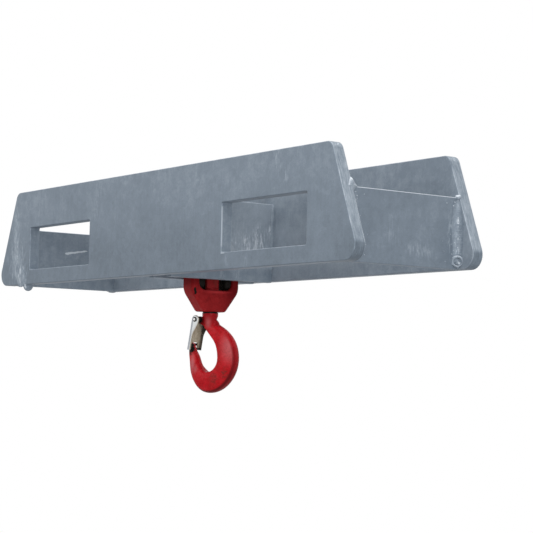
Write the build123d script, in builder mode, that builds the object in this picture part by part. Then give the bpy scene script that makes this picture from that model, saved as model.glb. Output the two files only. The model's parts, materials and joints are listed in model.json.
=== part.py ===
"""Forklift hook attachment: a welded carrier with two fork pockets and a forged swivel hook.

Frame: millimetres, +X along the carrier, +Y towards the truck, +Z up.
Origin: middle of the carrier, in the plane of the window tops that rest on the forks.
"""
import os
from math import cos, pi, radians, sin, sqrt

from build123d import *

# Carrier plates
plate_bottom_length = 900
plate_top_length = 790
plate_height = 142
plate_thickness = 16
plate_gap = 166
plate_top_radius = 12.5
plate_bottom_radius = 18
plate_edge_radius = 1.2

# Fork windows in both carrier plates
window_width = 180
window_height = 64
window_spacing = 518
window_sill = 22
window_radius = 2

# End plates between the carrier plates
end_plate_inset = 1.9
end_plate_thickness = 10
end_plate_height = 88

# Hanger plates beside the bail
hanger_thickness = 12
hanger_height = 110
hanger_drop = 2
bail_side_play = 1.5

# Fillet welds
end_weld_leg = 8
end_weld_start = 3
end_weld_finish = 2
hanger_weld_leg = 5
hanger_weld_start = 14
weld_hollow = 0.6

# Hanger pin with its washer and split pin
pin_diameter = 22
pin_height = 36
pin_hole_clearance = 0.2
pin_head_diameter = 32
pin_head_height = 7
pin_tail = 8
pin_chamfer = 2
washer_diameter = 39
washer_thickness = 4
washer_chamfer = 0.5
washer_play = 0.3
split_hole_diameter = 4.4
split_wire = 1.7
split_leg_gap = 0.5
split_leg_spread = 4
split_leg_drop = 4
split_eye_bend = 2
split_eye_angle = 50
split_eye_stem = 1.5

# Swivel bail
bail_width = 78
bail_thickness = 28
bail_wall = 12
bail_crown = 15
bail_pin_play = 0.3
bail_shoulder_drop = 18
bail_floor_drop = 16
bail_bottom_drop = 46
bail_bottom_width = 36
bail_shoulder_radius = 22
bail_bottom_radius = 5
bail_window_radius = 10
bail_edge_radius = 6
bail_window_edge_radius = 3.5

# Hook shank, nut and thrust washer
shank_diameter = 16
shank_clearance = 0.1
shank_end = 3
collar_diameter = 22
collar_height = 4
collar_gap = 1
neck_diameter = 18
thrust_washer_diameter = 27
thrust_washer_thickness = 2
swivel_play = 0.2
nut_width = 26
nut_height = 20
nut_chamfer = 1
nut_facet_angle = -24
thread_clearance = 0.05
lock_pin_diameter = 4
lock_pin_wall = 0.7
lock_pin_slot = 1
lock_pin_clearance = 0.05

# Forged hook: the bowl's centre lies on the swivel axis
swivel_angle = 20
bowl_reach = 64
bowl_radius = 18.5
neck_reach = 53
neck_overlap = 1
neck_roundness = 0.95
neck_bend_rise = 43
neck_bend_offset = 5.5
neck_bend_angle = -30
neck_bend_depth = 19.5
neck_bend_thickness = 18.5
neck_bend_roundness = 0.6
back_depth = 29.3
back_thickness = 21
tip_depth = 15.5
tip_thickness = 14
tip_end_depth = 9
tip_end_thickness = 9
tip_flare = 11.5
tip_squeeze = 3
tip_round = 2.5
tip_roundness = 0.6
throat_lead = 7.5
taper_start_angle = 80
taper_end_angle = 180
squeeze_start_angle = 85
squeeze_full_angle = 140
squeeze_fade_angle = 160
tip_angle = 213
bowl_angles = (-60, -35, -10, 15, 45, 75, 100, 125, 150, 175, 190, 203, 213)

# Safety latch
latch_pivot_offset = 15.5
latch_pivot_drop = 10.5
latch_lean = 9.5
latch_length = 43
latch_sheet = 1.8
latch_inner_width = 25.5
latch_ear_radius = 6
latch_web_offset = 4.3
latch_flange = 5
latch_flange_start = 26
latch_web_top = 3
latch_notch_width = 15
latch_notch_depth = 10.5
latch_notch_radius = 3
latch_bend_radius = 2.4
lug_thickness = 9
lug_radius = 4.6
lug_root_radius = 7
rivet_diameter = 5
rivet_clearance = 0.06
rivet_head_diameter = 7
rivet_head_height = 2
rivet_head_play = 0.2

# Latch spring
spring_wire = 1.2
spring_radius = 3.4
spring_pitch = 1.7
spring_turns = 2
spring_web_leg = 18
spring_neck_leg = 3.6
spring_side_play = 0.6

# Levels worked out from the sizes above
base_z = -(window_sill + window_height)
pin_z = base_z + pin_height
bail_floor_z = base_z - bail_floor_drop
bail_bottom_z = base_z - bail_bottom_drop
bowl_z = bail_bottom_z - bowl_reach
neck_z = bowl_z + neck_reach
plate_outer_y = plate_gap / 2 + plate_thickness
hanger_inner_x = bail_thickness / 2 + bail_side_play
hanger_outer_x = hanger_inner_x + hanger_thickness
end_slope = (plate_bottom_length - plate_top_length) / 2 / plate_height
end_outer_x = plate_bottom_length / 2 - end_slope * end_plate_height - end_plate_inset

# Plane of the hook: its X runs from the tip to the back, its Y is up
hook_along = Vector(cos(radians(swivel_angle)), sin(radians(swivel_angle)), 0)
hook_normal = Vector(sin(radians(swivel_angle)), -cos(radians(swivel_angle)), 0)
hook_plane = Plane(origin=(0, 0, 0), x_dir=hook_along, z_dir=hook_normal)

# Plane of the latch: its X points into the throat, its Y is up along the latch
latch_pivot = hook_along * -latch_pivot_offset + Vector(0, 0, bail_bottom_z - latch_pivot_drop)
latch_inward = hook_along * cos(radians(latch_lean)) - Vector(0, 0, sin(radians(latch_lean)))
latch_plane = Plane(origin=latch_pivot, x_dir=latch_inward, z_dir=hook_normal)

os.makedirs("parts", exist_ok=True)


def save(piece, name):
    """Labels a finished piece and writes its file."""
    piece.part.label = name
    export_step(piece.part, f"parts/{name}.step")


# Carrier plates: trapezoids with two fork windows each
for name, face_y in (("front_plate", -plate_outer_y), ("rear_plate", plate_gap / 2)):
    with BuildPart() as carrier_plate:
        with BuildSketch(Plane.XZ.offset(-face_y)) as plate_face:
            with BuildLine():
                Polyline(
                    (-plate_bottom_length / 2, base_z),
                    (plate_bottom_length / 2, base_z),
                    (plate_top_length / 2, base_z + plate_height),
                    (-plate_top_length / 2, base_z + plate_height),
                    close=True,
                )
            make_face()
            fillet(plate_face.vertices().group_by(Axis.Y)[0], plate_bottom_radius)
            fillet(plate_face.vertices().group_by(Axis.Y)[-1], plate_top_radius)
            with Locations((0, -window_height / 2)):
                with GridLocations(window_spacing, 0, 2, 1):
                    RectangleRounded(window_width, window_height, window_radius, mode=Mode.SUBTRACT)
        extrude(amount=-plate_thickness)
        fillet(carrier_plate.edges().filter_by(Axis.Y, reverse=True), plate_edge_radius)
    save(carrier_plate, name)



# End plates and their welds, on the left and on the right
def fillet_welds(outer_x, side, leg, bottom_z, top_z):
    """Two hollow beads in the corners between a cross plate and the carrier plates."""
    for end in (-1, 1):
        corner_y = end * plate_gap / 2
        toe_x = side * (outer_x + leg)
        toe_y = corner_y - end * leg
        belly_x = side * (outer_x + leg / 2 - weld_hollow)
        belly_y = corner_y - end * (leg / 2 - weld_hollow)
        with BuildSketch(Plane.XY.offset(bottom_z)) as bead:
            with BuildLine():
                Polyline((side * outer_x, toe_y), (side * outer_x, corner_y), (toe_x, corner_y))
                ThreePointArc((toe_x, corner_y), (belly_x, belly_y), (side * outer_x, toe_y))
            make_face()
        extrude(bead.sketch, amount=top_z - bottom_z)


for side, side_name in ((-1, "left"), (1, "right")):
    with BuildPart() as end_plate:
        with BuildSketch(Plane.XY.offset(base_z)):
            with Locations((side * (end_outer_x - end_plate_thickness / 2), 0)):
                Rectangle(end_plate_thickness, plate_gap)
        extrude(amount=end_plate_height)
        fillet(end_plate.edges().filter_by(Axis.Y), plate_edge_radius)
    save(end_plate, f"{side_name}_end_plate")

    with BuildPart() as end_welds:
        end_top_z = base_z + end_plate_height
        fillet_welds(end_outer_x, side, end_weld_leg, base_z + end_weld_start, end_top_z - end_weld_finish)
    save(end_welds, f"{side_name}_end_welds")

    # Hanger plates carry the pin, close beside the bail
    with BuildPart() as hanger_plate:
        with BuildSketch(Plane.YZ.offset(side * hanger_outer_x)):
            with Locations((0, base_z - hanger_drop + hanger_height / 2)):
                Rectangle(plate_gap, hanger_height)
            with Locations((0, pin_z)):
                Circle(pin_diameter / 2 + pin_hole_clearance, mode=Mode.SUBTRACT)
        extrude(amount=-side * hanger_thickness)
        fillet(hanger_plate.edges().filter_by(Axis.Y), plate_edge_radius)
    save(hanger_plate, f"{side_name}_hanger_plate")

    with BuildPart() as hanger_welds:
        hanger_top_z = base_z - hanger_drop + hanger_height
        fillet_welds(hanger_outer_x, side, hanger_weld_leg, base_z + hanger_weld_start, hanger_top_z)
    save(hanger_welds, f"{side_name}_hanger_welds")

# Hanger pin: turned in one piece with its head, cross-drilled at its tail
pin_axis = Axis((0, 0, pin_z), (1, 0, 0))
pin_plane = Plane(origin=(0, 0, pin_z), x_dir=(1, 0, 0), z_dir=(0, -1, 0))
washer_end_x = hanger_outer_x + washer_thickness
split_x = washer_end_x + washer_play + split_hole_diameter / 2
pin_end_x = split_x + pin_tail

with BuildPart() as hanger_pin:
    with BuildSketch(pin_plane):
        with BuildLine():
            Polyline(
                (-hanger_outer_x - pin_head_height, 0),
                (-hanger_outer_x - pin_head_height, pin_head_diameter / 2 - pin_chamfer),
                (-hanger_outer_x - pin_head_height + pin_chamfer, pin_head_diameter / 2),
                (-hanger_outer_x, pin_head_diameter / 2),
                (-hanger_outer_x, pin_diameter / 2),
                (pin_end_x - pin_chamfer, pin_diameter / 2),
                (pin_end_x, pin_diameter / 2 - pin_chamfer),
                (pin_end_x, 0),
                close=True,
            )
        make_face()
    revolve(axis=pin_axis)
    with BuildSketch(Plane.XY.offset(pin_z - pin_diameter)):
        with Locations((split_x, 0)):
            Circle(split_hole_diameter / 2)
    extrude(amount=2 * pin_diameter, mode=Mode.SUBTRACT)
save(hanger_pin, "hanger_pin")

with BuildPart() as pin_washer:
    with BuildSketch(Plane(origin=(hanger_outer_x, 0, pin_z), x_dir=(0, 1, 0), z_dir=(1, 0, 0))):
        Circle(washer_diameter / 2)
        Circle(pin_diameter / 2 + pin_hole_clearance, mode=Mode.SUBTRACT)
    extrude(amount=washer_thickness)
    chamfer(pin_washer.edges().filter_by(GeomType.CIRCLE).sort_by(SortBy.RADIUS)[-2:], washer_chamfer)
save(pin_washer, "pin_washer")

# Split pin: one wire bent to an eye, its two legs spread under the hanger pin
leg_y = (split_wire + split_leg_gap) / 2
leg_end_z = pin_z - pin_diameter / 2 - split_wire
stem_z = pin_z + pin_diameter / 2 + split_eye_stem
bend_cos = cos(radians(split_eye_angle))
bend_sin = sin(radians(split_eye_angle))
half_cos = cos(radians(split_eye_angle / 2))
half_sin = sin(radians(split_eye_angle / 2))
eye_radius = (leg_y + split_eye_bend * (1 - bend_cos)) / bend_cos
eye_z = stem_z + split_eye_bend * bend_sin + eye_radius * bend_sin

with BuildPart() as split_pin:
    with BuildLine(Plane.YZ.offset(split_x)) as split_wire_path:
        for end in (-1, 1):
            Line(
                (end * (leg_y + split_leg_spread), leg_end_z - split_leg_drop),
                (end * leg_y, leg_end_z),
            )
            Line((end * leg_y, leg_end_z), (end * leg_y, stem_z))
            ThreePointArc(
                (end * leg_y, stem_z),
                (end * (leg_y + split_eye_bend * (1 - half_cos)), stem_z + split_eye_bend * half_sin),
                (end * (leg_y + split_eye_bend * (1 - bend_cos)), stem_z + split_eye_bend * bend_sin),
            )
        ThreePointArc(
            (-eye_radius * bend_cos, eye_z - eye_radius * bend_sin),
            (0, eye_z + eye_radius),
            (eye_radius * bend_cos, eye_z - eye_radius * bend_sin),
        )
    split_path = split_wire_path.wires()[0]
    with BuildSketch(Plane(origin=split_path @ 0, z_dir=split_path % 0)):
        Circle(split_wire / 2)
    sweep(path=split_path, transition=Transition.ROUND)
save(split_pin, "split_pin")

# Swivel bail: forged loop over the hanger pin, tapering to a flat bottom
bail_arch_z = pin_z + pin_diameter / 2 + bail_pin_play + bail_crown - bail_width / 2
window_half = bail_width / 2 - bail_wall
window_arch_z = pin_z + pin_diameter / 2 + bail_pin_play - window_half
shoulder_z = base_z - bail_shoulder_drop

with BuildPart() as swivel_bail:
    with BuildSketch(Plane.YZ.offset(-bail_thickness / 2)) as bail_face:
        with BuildLine():
            Polyline(
                (bail_width / 2, bail_arch_z),
                (bail_width / 2, shoulder_z),
                (bail_bottom_width / 2, bail_bottom_z),
                (-bail_bottom_width / 2, bail_bottom_z),
                (-bail_width / 2, shoulder_z),
                (-bail_width / 2, bail_arch_z),
            )
            ThreePointArc(
                (-bail_width / 2, bail_arch_z),
                (0, bail_arch_z + bail_width / 2),
                (bail_width / 2, bail_arch_z),
            )
        make_face()
        fillet(bail_face.vertices().group_by(Axis.Y)[1], bail_shoulder_radius)
        fillet(bail_face.vertices().group_by(Axis.Y)[0], bail_bottom_radius)
    extrude(amount=bail_thickness)
    fillet(swivel_bail.edges().filter_by(Axis.X, reverse=True), bail_edge_radius)
    with BuildSketch(Plane.YZ.offset(-bail_thickness / 2)):
        with BuildLine():
            Polyline(
                (-window_half, window_arch_z),
                (-window_half, bail_floor_z),
                (window_half, bail_floor_z),
                (window_half, window_arch_z),
            )
            ThreePointArc(
                (window_half, window_arch_z),
                (0, window_arch_z + window_half),
                (-window_half, window_arch_z),
            )
        fillet(make_face().vertices().group_by(Axis.Y)[0], bail_window_radius)
    extrude(amount=bail_thickness, mode=Mode.SUBTRACT)
    window_rims = [face.inner_wires()[0].edges() for face in swivel_bail.faces().filter_by(Axis.X)]
    fillet(window_rims[0] + window_rims[1], bail_window_edge_radius)
    with BuildSketch(Plane.XY.offset(bail_bottom_z)):
        Circle(shank_diameter / 2 + shank_clearance)
    extrude(amount=bail_floor_z - bail_bottom_z, mode=Mode.SUBTRACT)
save(swivel_bail, "swivel_bail")

# Thrust washer on the bail's floor
with BuildPart() as thrust_washer:
    with BuildSketch(Plane.XY.offset(bail_floor_z)):
        Circle(thrust_washer_diameter / 2)
        Circle(shank_diameter / 2 + shank_clearance, mode=Mode.SUBTRACT)
    extrude(amount=thrust_washer_thickness)
save(thrust_washer, "thrust_washer")

# Hexagon shank nut, cross-drilled through two facets for its lock pin
nut_bottom_z = bail_floor_z + thrust_washer_thickness + swivel_play
lock_pin_z = nut_bottom_z + nut_height / 2
shank_top_z = nut_bottom_z + nut_height + shank_end
lock_pin_angle = radians(nut_facet_angle + 60)
lock_pin_plane = Plane(
    origin=(0, 0, lock_pin_z), x_dir=(0, 0, 1), z_dir=(cos(lock_pin_angle), sin(lock_pin_angle), 0)
)

with BuildPart() as shank_nut:
    with BuildSketch(Plane.XY.offset(nut_bottom_z)):
        RegularPolygon(nut_width / 2, 6, major_radius=False, rotation=nut_facet_angle + 30)
    extrude(amount=nut_height)
    with BuildSketch(Plane.XZ):
        with BuildLine():
            Polyline(
                (0, nut_bottom_z),
                (nut_width / 2, nut_bottom_z),
                (nut_width / 2 + 2 * nut_chamfer, nut_bottom_z + nut_chamfer),
                (nut_width / 2 + 2 * nut_chamfer, nut_bottom_z + nut_height - nut_chamfer),
                (nut_width / 2, nut_bottom_z + nut_height),
                (0, nut_bottom_z + nut_height),
                close=True,
            )
        make_face()
    revolve(axis=Axis.Z, mode=Mode.INTERSECT)
    with BuildSketch(Plane.XY.offset(nut_bottom_z)):
        Circle(shank_diameter / 2 + thread_clearance)
    extrude(amount=nut_height, mode=Mode.SUBTRACT)
    with BuildSketch(lock_pin_plane):
        Circle(lock_pin_diameter / 2 + lock_pin_clearance)
    extrude(amount=nut_width, both=True, mode=Mode.SUBTRACT)
save(shank_nut, "shank_nut")

# Lock pin: a rolled spring pin with a slot along its length
with BuildPart() as nut_lock_pin:
    with BuildSketch(lock_pin_plane):
        Circle(lock_pin_diameter / 2)
        Circle(lock_pin_diameter / 2 - lock_pin_wall, mode=Mode.SUBTRACT)
        with Locations((lock_pin_diameter / 2, 0)):
            Rectangle(lock_pin_diameter, lock_pin_slot, mode=Mode.SUBTRACT)
    extrude(amount=nut_width / 2, both=True)
save(nut_lock_pin, "nut_lock_pin")


def ease(value, start, end):
    """Smooth step from 0 at start to 1 at end."""
    share = min(max((value - start) / (end - start), 0), 1)
    return share * share * (3 - 2 * share)


def blend(first, second, share):
    """Point that lies a share of the way from one point to another."""
    return tuple(a + (b - a) * share for a, b in zip(first, second))


# Form of the forged section: corner places as shares of its half depth and half thickness
flat_corners = ((-0.98, 0.55), (-0.78, 0.94), (0.42, 0.95), (0.97, 0.36))
flat_middles = ((-0.92, 0.80), (-0.18, 1.0), (0.79, 0.74), (1.0, 0), (-1.0, 0))
round_corner_angles = (152, 120, 55, 24)
round_middle_angles = (136, 88, 40, 0, 180)


def forged_section(across, travel, centre, depth, thickness, roundness):
    """Eight arcs: a flat saddle, two faces and a narrow back edge, with a rounded corner between each."""
    turned = [(cos(radians(angle)), sin(radians(angle))) for angle in round_corner_angles]
    turned_middles = [(cos(radians(angle)), sin(radians(angle))) for angle in round_middle_angles]
    shares = [blend(flat, arc, roundness) for flat, arc in zip(flat_corners, turned)]
    middles = [blend(flat, arc, roundness) for flat, arc in zip(flat_middles, turned_middles)]
    corners = [Vector(x * depth / 2, y * thickness / 2) for x, y in shares]
    *side_middles, edge_middle, saddle_middle = [Vector(x * depth / 2, y * thickness / 2) for x, y in middles]
    below = [Vector(corner.X, -corner.Y) for corner in corners]
    with BuildSketch(Plane(origin=centre, x_dir=across, z_dir=travel)) as section:
        with BuildLine():
            for start, middle, end in zip(corners, side_middles, corners[1:]):
                ThreePointArc(start, middle, end)
            ThreePointArc(corners[-1], edge_middle, below[-1])
            for start, middle, end in zip(below[:0:-1], side_middles[::-1], below[-2::-1]):
                ThreePointArc(start, (middle.X, -middle.Y), end)
            ThreePointArc(below[0], saddle_middle, corners[0])
        make_face()
    return section.sketch.face()


def station(angle):
    """Outward and travel directions at an angle round the bowl, 0 at the back and 90 at the bottom."""
    turn = radians(angle)
    across = hook_along * cos(turn) - Vector(0, 0, sin(turn))
    travel = hook_along * -sin(turn) - Vector(0, 0, cos(turn))
    return across, travel


# Forged hook: lofted from the round neck through the bowl to the tip
bowl_centre = Vector(0, 0, bowl_z)
collar_top_z = bail_bottom_z - collar_gap

with BuildPart() as hook:
    across, travel = station(0)
    neck_centre = (0, 0, neck_z + neck_overlap)
    sections = [forged_section(across, travel, neck_centre, neck_diameter, neck_diameter, neck_roundness)]
    across, travel = station(neck_bend_angle)
    bend_centre = bowl_centre + hook_along * neck_bend_offset + Vector(0, 0, neck_bend_rise)
    sections.append(
        forged_section(across, travel, bend_centre, neck_bend_depth, neck_bend_thickness, neck_bend_roundness)
    )
    for angle in bowl_angles:
        across, travel = station(angle)
        taper = ease(angle, taper_start_angle, taper_end_angle)
        lead = throat_lead * (min(angle, 0) / bowl_angles[0]) ** 2
        tip_share = max(angle - taper_end_angle, 0) / (tip_angle - taper_end_angle)
        depth = back_depth + (tip_depth - back_depth) * taper - lead
        depth += (tip_end_depth - tip_depth) * tip_share**2
        thickness = back_thickness + (tip_thickness - back_thickness) * taper
        thickness += (tip_end_thickness - tip_thickness) * tip_share**2
        squeeze = ease(angle, squeeze_start_angle, squeeze_full_angle)
        squeeze -= ease(angle, squeeze_fade_angle, tip_angle)
        middle = bowl_radius + lead + tip_flare * tip_share**2 - tip_squeeze * squeeze + depth / 2
        centre = bowl_centre + across * middle
        sections.append(forged_section(across, travel, centre, depth, thickness, tip_roundness * taper))
    across, travel = station(tip_angle)
    centre += travel * tip_round
    depth -= tip_round
    thickness -= tip_round
    sections.append(forged_section(across, travel, centre, depth, thickness, tip_roundness))
    loft(sections)

    # Turned shank with its collar
    with BuildSketch(hook_plane):
        with BuildLine():
            Polyline(
                (0, shank_top_z),
                (shank_diameter / 2, shank_top_z),
                (shank_diameter / 2, collar_top_z),
                (collar_diameter / 2, collar_top_z),
                (collar_diameter / 2, collar_top_z - collar_height),
                (neck_diameter / 2, neck_z),
                (0, neck_z),
                close=True,
            )
        make_face()
    revolve(axis=Axis.Z)

    # Lug that carries the latch
    with BuildSketch(hook_plane):
        with Locations((-latch_pivot_offset, latch_pivot.Z)):
            Circle(lug_radius)
        with Locations((0, latch_pivot.Z - lug_root_radius / 2)):
            Circle(lug_root_radius)
        make_hull()
        with Locations((-latch_pivot_offset, latch_pivot.Z)):
            Circle(rivet_diameter / 2 + rivet_clearance, mode=Mode.SUBTRACT)
    extrude(amount=lug_thickness / 2, both=True)

    with BuildSketch(lock_pin_plane):
        Circle(lock_pin_diameter / 2 + lock_pin_clearance)
    extrude(amount=nut_width, both=True, mode=Mode.SUBTRACT)
save(hook, "hook")

# Safety latch: a pressed channel with two ears, its web notched for the hook's tip
latch_half_width = latch_inner_width / 2 + latch_sheet
web_outer = latch_web_offset + latch_sheet

with BuildPart() as latch:
    with BuildSketch(latch_plane):
        with BuildLine():
            Polyline(
                (-latch_ear_radius, 0),
                (-web_outer, -latch_web_top),
                (-web_outer, -latch_length),
                (latch_flange - web_outer, -latch_length),
                (latch_flange - web_outer, -latch_flange_start),
            )
            Spline(
                (latch_flange - web_outer, -latch_flange_start),
                (latch_ear_radius, 0),
                tangents=((0, 1), (0, 1)),
            )
            ThreePointArc((latch_ear_radius, 0), (0, latch_ear_radius), (-latch_ear_radius, 0))
        make_face()
    extrude(amount=latch_half_width, both=True)
    web_edges = latch.edges().filter_by(Axis(latch_pivot, latch_plane.y_dir))
    fillet(web_edges.sort_by(Axis(latch_pivot, latch_plane.x_dir))[:2], latch_bend_radius)
    with BuildSketch(latch_plane):
        with Locations((latch_length / 2 - latch_web_offset, -latch_length / 2)):
            Rectangle(latch_length, 2 * latch_length)
    extrude(amount=latch_inner_width / 2, both=True, mode=Mode.SUBTRACT)
    with BuildSketch(latch_plane):
        with Locations((0, latch_length / 2 - latch_web_top)):
            Rectangle(latch_length, latch_length)
    extrude(amount=latch_inner_width / 2, both=True, mode=Mode.SUBTRACT)
    with BuildSketch(Plane(origin=latch_pivot, x_dir=hook_normal, z_dir=-latch_inward)):
        with Locations((0, -latch_length)):
            RectangleRounded(latch_notch_width, 2 * latch_notch_depth, latch_notch_radius)
    extrude(amount=latch_length, both=True, mode=Mode.SUBTRACT)
    with BuildSketch(latch_plane):
        Circle(rivet_diameter / 2 + rivet_clearance)
    extrude(amount=latch_half_width, both=True, mode=Mode.SUBTRACT)
save(latch, "latch")

# Latch rivet: a straight body with a domed head on each end
rivet_face = latch_half_width + rivet_head_play

with BuildPart() as latch_rivet:
    with BuildSketch(Plane(origin=latch_pivot, x_dir=hook_normal, z_dir=latch_plane.y_dir)):
        with BuildLine():
            Line((-rivet_face - rivet_head_height, 0), (rivet_face + rivet_head_height, 0))
            for end in (-1, 1):
                ThreePointArc(
                    (end * (rivet_face + rivet_head_height), 0),
                    (end * (rivet_face + rivet_head_height * 0.75), rivet_head_diameter / 4),
                    (end * rivet_face, rivet_head_diameter / 2),
                )
                Line((end * rivet_face, rivet_head_diameter / 2), (end * rivet_face, rivet_diameter / 2))
            Line((-rivet_face, rivet_diameter / 2), (rivet_face, rivet_diameter / 2))
        make_face()
    revolve(axis=Axis(latch_pivot, hook_normal))
save(latch_rivet, "latch_rivet")


# Latch spring: a torsion coil round the rivet, one leg on the web and one on the neck
def spring_point(turn):
    """Place and heading on the coil after a number of turns, counted from its neck end."""
    angle = 2 * pi * turn
    start_depth = lug_thickness / 2 + spring_side_play + spring_wire / 2
    depth = -start_depth - spring_pitch * turn
    place = Vector(-spring_radius * sin(angle), spring_radius * cos(angle), depth)
    heading = Vector(-cos(angle), -sin(angle), -spring_pitch / (2 * pi * spring_radius)).normalized()
    return latch_plane.from_local_coords(place), latch_plane.from_local_coords(heading) - latch_pivot


def biarc(start, start_heading, end, end_heading):
    """Two arcs that run on from each other between two places with given headings."""
    gap = end - start
    both = start_heading + end_heading
    spread = 2 * (1 - start_heading.dot(end_heading))
    reach = (sqrt(gap.dot(both) ** 2 + spread * gap.dot(gap)) - gap.dot(both)) / spread
    first_corner = start + start_heading * reach
    second_corner = end - end_heading * reach
    joint = (first_corner + second_corner) * 0.5
    TangentArc(start, joint, tangent=start_heading)
    TangentArc(joint, end, tangent=second_corner - first_corner)


quarters = [quarter / 4 for quarter in range(4 * spring_turns + 2)]
with BuildPart() as latch_spring:
    with BuildLine() as spring_line:
        place, heading = spring_point(quarters[0])
        Line(place - heading * spring_neck_leg, place)
        for turn, next_turn in zip(quarters, quarters[1:]):
            biarc(*spring_point(turn), *spring_point(next_turn))
        place, heading = spring_point(quarters[-1])
        Line(place, place + heading * spring_web_leg)
    spring_path = spring_line.wires()[0]
    with BuildSketch(Plane(origin=spring_path @ 0, z_dir=spring_path % 0)):
        Circle(spring_wire / 2)
    sweep(path=spring_path)
print(f"latch_spring: gap between turns {spring_pitch - spring_wire:.2f} mm")
save(latch_spring, "latch_spring")
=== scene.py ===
# %% [markdown]
# # Dressing a forklift hook attachment
# The real object is a carrier of hot-dip galvanised plates with two pockets through it, and a red forged
# swivel hook under its middle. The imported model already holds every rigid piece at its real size, so this
# lesson only adds what a plain solid lacks: rippled welds, runs and drips of zinc, the wound latch spring,
# old grease, and a finish for each material. Lengths are in metres unless the text says millimetres.

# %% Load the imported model
import json
from functools import reduce

import bmesh
import bpy
import numpy as np
from mathutils import Matrix, Vector


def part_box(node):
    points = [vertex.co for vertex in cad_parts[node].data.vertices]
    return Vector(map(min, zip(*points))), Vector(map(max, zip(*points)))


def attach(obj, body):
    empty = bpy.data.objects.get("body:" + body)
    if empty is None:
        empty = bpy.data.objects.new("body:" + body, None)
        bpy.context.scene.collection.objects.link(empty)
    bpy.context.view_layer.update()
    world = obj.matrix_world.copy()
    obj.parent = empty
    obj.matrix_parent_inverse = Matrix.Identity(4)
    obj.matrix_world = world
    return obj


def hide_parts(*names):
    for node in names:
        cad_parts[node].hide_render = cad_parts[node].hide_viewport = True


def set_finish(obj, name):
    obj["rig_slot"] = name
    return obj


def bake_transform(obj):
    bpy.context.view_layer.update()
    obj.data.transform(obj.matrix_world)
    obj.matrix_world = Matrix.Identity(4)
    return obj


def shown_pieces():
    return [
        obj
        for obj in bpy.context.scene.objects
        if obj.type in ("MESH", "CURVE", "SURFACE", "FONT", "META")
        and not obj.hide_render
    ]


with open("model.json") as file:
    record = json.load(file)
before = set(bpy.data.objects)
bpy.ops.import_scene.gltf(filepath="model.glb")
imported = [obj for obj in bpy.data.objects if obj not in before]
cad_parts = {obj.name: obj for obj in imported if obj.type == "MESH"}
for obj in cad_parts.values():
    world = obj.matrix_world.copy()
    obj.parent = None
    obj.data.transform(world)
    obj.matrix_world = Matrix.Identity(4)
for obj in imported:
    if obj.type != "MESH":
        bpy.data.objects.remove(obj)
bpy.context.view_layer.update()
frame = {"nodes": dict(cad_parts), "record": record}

MM = 0.001
box = {name: np.array(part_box(name)) for name in frame["nodes"]}

# %% [markdown]
# ## From formulas to meshes
# Each new piece is a surface p(u, v): rows of points run along it and columns run round it. It could be
# modelled by hand with extrudes and bevels, but a formula keeps every bead and drip adjustable. The helper
# makes one mesh of such grids, welds the poles where a row shrinks to one point, turns all faces outwards and
# shades them smoothly, apart from edges as sharp as a bead's thin rim.

# %% Helper: point grids to one closed mesh
MERGE_DISTANCE = 1e-6
SHARP_ANGLE = np.radians(60)


def grid_faces(rows, columns, start):
    """Quads of a point grid, numbered row by row from start; the last column joins the first."""
    number = start + np.arange(rows * columns).reshape(rows, columns)
    number = np.hstack([number, number[:, :1]])
    corners = (number[:-1, :-1], number[1:, :-1], number[1:, 1:], number[:-1, 1:])
    return np.stack(corners, axis=-1).reshape(-1, 4)


def skin(name, grids, body, slot, replaces=None):
    """One smooth mesh from grids of points (rows, columns, 3); it rides on a body, perhaps for a node."""
    sizes = [grid.shape[0] * grid.shape[1] for grid in grids]
    starts = np.cumsum([0] + sizes[:-1])
    points = np.concatenate([grid.reshape(-1, 3) for grid in grids])
    faces = np.concatenate([grid_faces(*g.shape[:2], start) for g, start in zip(grids, starts)])
    mesh = bpy.data.meshes.new(name)
    mesh.from_pydata(points.tolist(), [], faces.tolist())
    work = bmesh.new()
    work.from_mesh(mesh)
    bmesh.ops.remove_doubles(work, verts=work.verts, dist=MERGE_DISTANCE)
    bmesh.ops.recalc_face_normals(work, faces=work.faces)
    work.to_mesh(mesh)
    work.free()
    mesh.shade_smooth()
    mesh.set_sharp_from_angle(angle=SHARP_ANGLE)
    piece = bpy.data.objects.new(name, mesh)
    bpy.context.collection.objects.link(piece)
    if body:
        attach(piece, body)
    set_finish(piece, slot)
    if replaces:
        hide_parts(replaces)
    print(name, "faces:", len(mesh.polygons))
    return piece


# %% [markdown]
# ## Weld beads
# A fillet weld is laid in small overlapping puddles, so its face shows crescent ripples and its width
# wanders a little; after dipping, zinc rounds them off. Extruding a triangle would look like a moulding.
# Here the section is a hollow curve between the two plates, and its size is a slow wander times the puddles'
# ripple along the seam, drawn in to nothing at both ends. Near the top of an end plate it stops at the long
# plate's slanted end.

# %% Fillet welds of end plates and hanger plates
WELD_LEG = {"end": 10 * MM, "hanger": 4.6 * MM}
WELD_HOLLOW = 0.57
WELD_SINK = 0.12 * MM
# Share and length of the slow waves in a bead's size, then of those that make the beat of its puddles uneven
SIZE_WAVES = ((0.06, 17 * MM), (0.05, 6.3 * MM))
BEAT_WAVES = ((0.9, 9 * MM), (1.1, 4.1 * MM))
PUDDLE_PITCH, PUDDLE_HEIGHT, PUDDLE_BEND = 3.4 * MM, 0.06, 1.1
POCK_SHARE, POCK_LENGTHS = 1.1, (1.9 * MM, 3.1 * MM)
FRONT_PHASE, REAR_PHASE = 0.7, 2.9
ROW_STEP, SECTION_POINTS = 0.5 * MM, 21
PLATE_HALF_LENGTHS = (450 * MM, 395 * MM)
PLATE_EDGE = 0.8 * MM
plate_heights = box["front_plate"][:, 2]
X_AXIS, Y_AXIS, Z_AXIS = np.eye(3)
front_outer, front_inner = box["front_plate"][:, 1]
rear_inner, rear_outer = box["rear_plate"][:, 1]


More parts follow.
